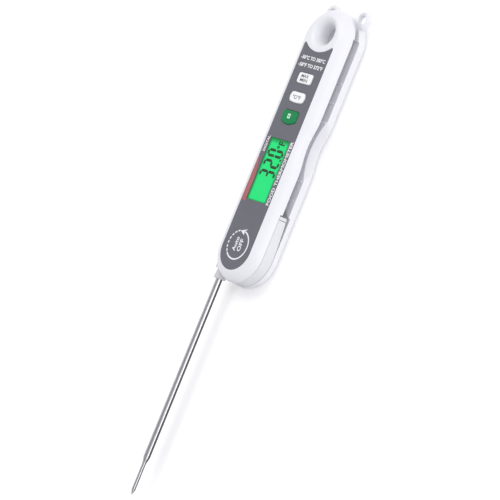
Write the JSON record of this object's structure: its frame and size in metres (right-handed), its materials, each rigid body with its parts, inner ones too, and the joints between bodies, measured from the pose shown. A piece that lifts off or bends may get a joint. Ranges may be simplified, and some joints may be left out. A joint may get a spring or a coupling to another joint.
{
  "type": "folding probe thermometer",
  "caption": "Slim hand-held digital thermometer whose steel stem swings out of a slot in the side of a round-ended handle.",
  "frame": {"origin": "on the flat back of the handle, under the axis that the stem turns about, half way between the stem's point and the tops of the two loops", "axes": "+Y up the handle from the pivot to the hanging hole, with the open stem pointing to -Y; +Z out of the face with the display; +X towards the side with the storage slot"},
  "size_m": [0.036, 0.2868, 0.0186],
  "materials": {
    "white_plastic": "satin white moulded plastic",
    "label_grey": "matt dark grey printed film",
    "display_green": "backlit green display glass",
    "clear_plastic": "clear glossy plastic",
    "key_white": "satin white keys with grey legends",
    "key_green": "satin green key with a light legend",
    "steel": "drawn and polished stainless steel",
    "dark_rubber": "matt black silicone",
    "board_green": "green solder mask",
    "chip_black": "black epoxy",
    "brass": "plain brass strip",
    "wire_red": "red wire insulation"
  },
  "bodies": {
    "handle": {"front_shell": "white_plastic", "rear_shell": "white_plastic", "face_label": "label_grey", "lcd_window": "clear_plastic", "lcd_panel": "display_green", "lcd_backlight": "clear_plastic", "lcd_connector_strip": "dark_rubber", "keypad_membrane": "dark_rubber", "dome_switch_1": "steel", "dome_switch_2": "steel", "dome_switch_3": "steel", "circuit_board": "board_green", "controller_chip": "chip_black", "reed_switch": "brass", "coin_cell": "steel", "battery_contact_minus": "brass", "battery_contact_plus": "brass", "magnet_1": "steel", "magnet_2": "steel", "pivot_sleeve": "steel", "pivot_screw": "steel", "shell_screw_1": "steel", "shell_screw_2": "steel", "shell_screw_3": "steel", "shell_screw_4": "steel"},
    "stem": {"probe_hub": "white_plastic", "pivot_bushing": "brass", "friction_washer": "steel", "hub_seal": "dark_rubber", "hub_magnet": "steel", "probe_collar": "white_plastic", "probe_tube": "steel", "probe_tip": "steel", "sensor_bead": "chip_black", "sensor_leads": "wire_red"},
    "max_min_key": {"key_max_min": "key_white"},
    "unit_key": {"key_unit": "key_white"},
    "light_key": {"key_light": "key_green"},
    "cell_door": {"battery_door": "white_plastic", "cell_cushion": "dark_rubber"}
  },
  "joints": [
    {"name": "stem_fold", "type": "hinge", "parent": "handle", "child": "stem", "pos_m": [0, 0, 0.0092], "axis": [0, 0, 1], "range_deg": [0, 180]},
    {"name": "max_min_press", "type": "slide", "parent": "handle", "child": "max_min_key", "axis": [0, 0, -1], "range_m": [0, 0.0005], "stiffness_N_per_m": 400},
    {"name": "unit_press", "type": "slide", "parent": "handle", "child": "unit_key", "axis": [0, 0, -1], "range_m": [0, 0.0005], "stiffness_N_per_m": 400},
    {"name": "light_press", "type": "slide", "parent": "handle", "child": "light_key", "axis": [0, 0, -1], "range_m": [0, 0.0005], "stiffness_N_per_m": 400},
    {"name": "cell_door_turn", "type": "hinge", "parent": "handle", "child": "cell_door", "pos_m": [-0.0027, 0.092, 0.001], "axis": [0, 0, -1], "range_deg": [0, 45]}
  ]
}
